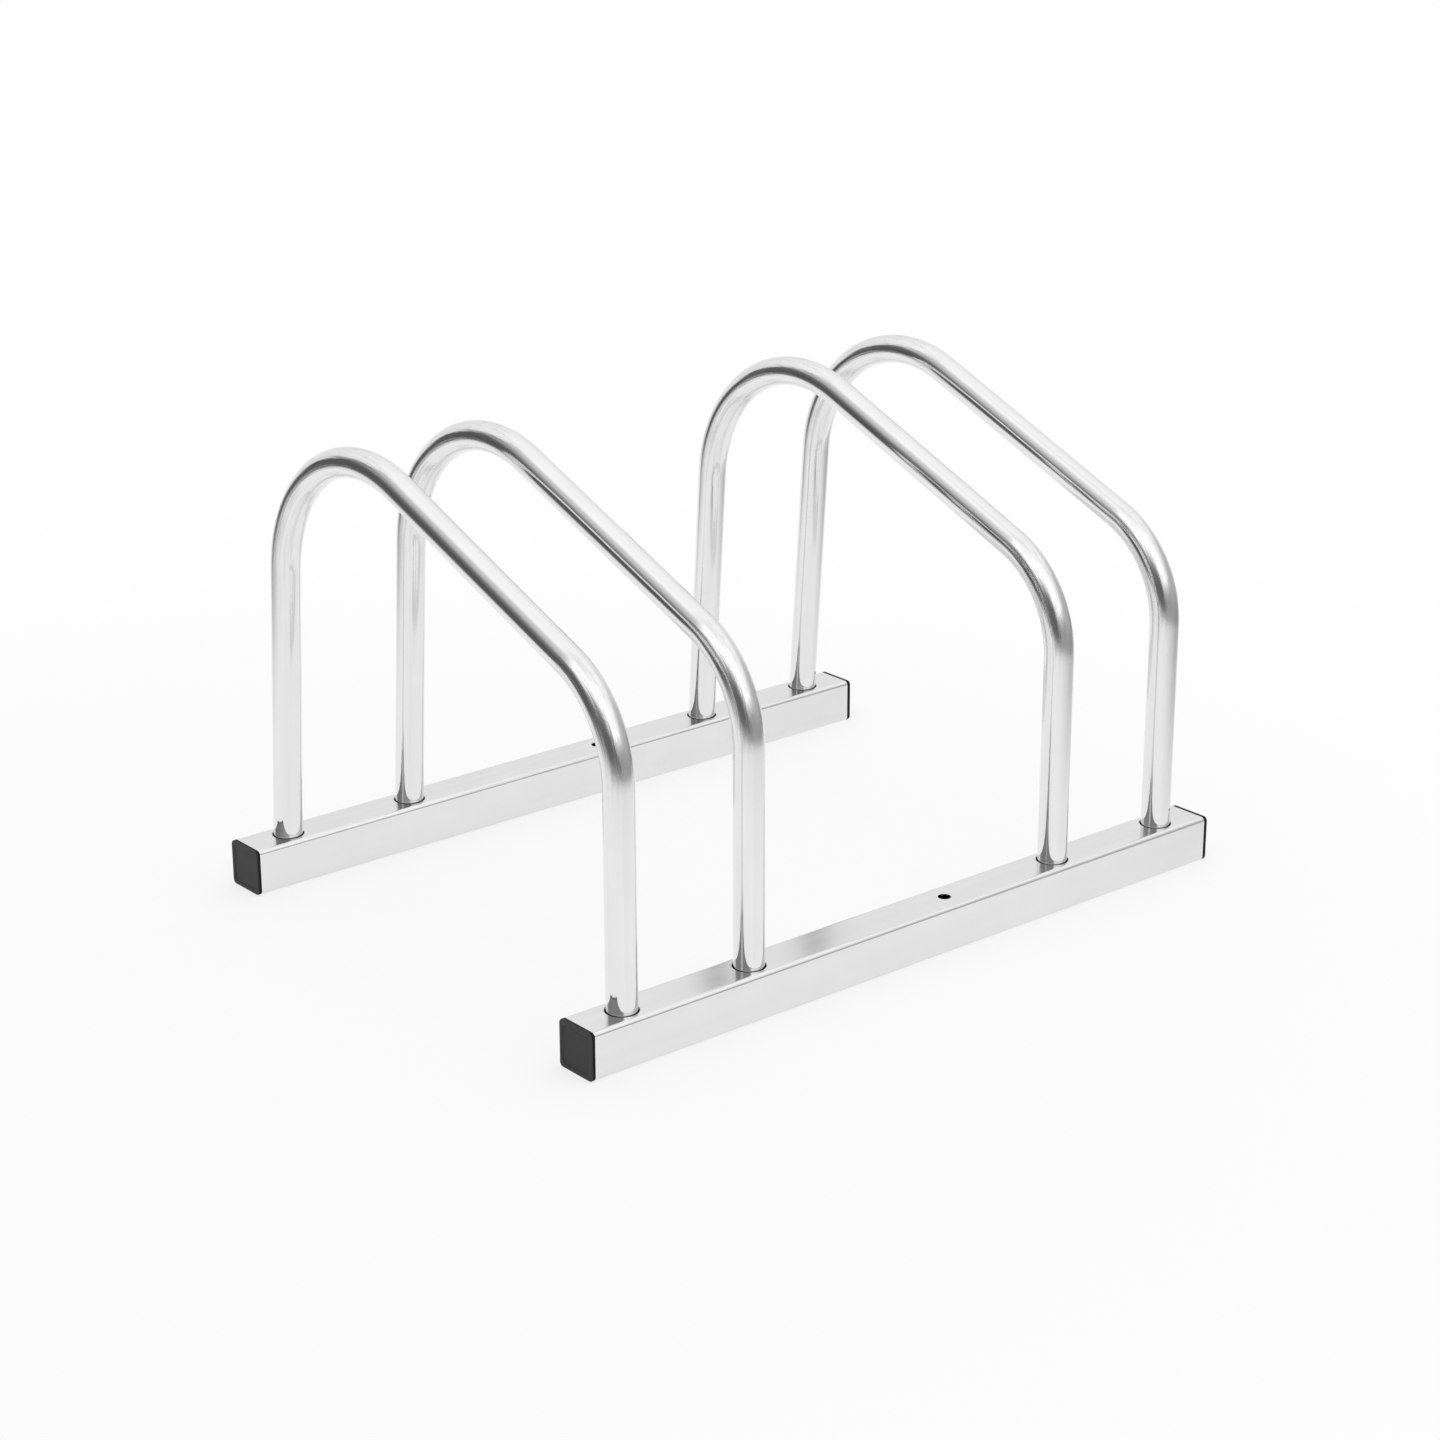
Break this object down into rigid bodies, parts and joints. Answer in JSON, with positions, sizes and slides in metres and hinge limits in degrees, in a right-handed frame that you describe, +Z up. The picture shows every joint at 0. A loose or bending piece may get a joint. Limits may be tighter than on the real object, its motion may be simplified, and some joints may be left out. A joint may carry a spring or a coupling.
{
  "type": "floor bike rack",
  "caption": "Floor rack for bicycles: square rails carry bent tube hoops in pairs, and a wheel stands in the slot between the hoops of a pair.",
  "frame": {"origin": "on the floor, in the middle of the rack", "axes": "+X along the rails, +Y from the low front ends of the hoops to the high rear ends, +Z up"},
  "size_m": [0.4292, 0.3194, 0.2602],
  "materials": {
    "rail_steel": "satin zinc plate with a faint drawn grain",
    "hoop_steel": "bright zinc plate on drawn round tube",
    "cap_plastic": "moulded black polyethylene, slight sheen",
    "plug_steel": "turned steel",
    "screw_steel": "zinc plated screw"
  },
  "bodies": {
    "root": {"front_rail": "rail_steel", "rear_rail": "rail_steel", "left_outer_hoop": "hoop_steel", "left_inner_hoop": "hoop_steel", "right_outer_hoop": "hoop_steel", "right_inner_hoop": "hoop_steel", "front_left_cap": "cap_plastic", "front_right_cap": "cap_plastic", "rear_left_cap": "cap_plastic", "rear_right_cap": "cap_plastic", "left_outer_front_plug": "plug_steel", "left_outer_front_screw": "screw_steel", "left_outer_rear_plug": "plug_steel", "left_outer_rear_screw": "screw_steel", "left_inner_front_plug": "plug_steel", "left_inner_front_screw": "screw_steel", "left_inner_rear_plug": "plug_steel", "left_inner_rear_screw": "screw_steel", "right_outer_front_plug": "plug_steel", "right_outer_front_screw": "screw_steel", "right_outer_rear_plug": "plug_steel", "right_outer_rear_screw": "screw_steel", "right_inner_front_plug": "plug_steel", "right_inner_front_screw": "screw_steel", "right_inner_rear_plug": "plug_steel", "right_inner_rear_screw": "screw_steel"}
  },
  "joints": []
}
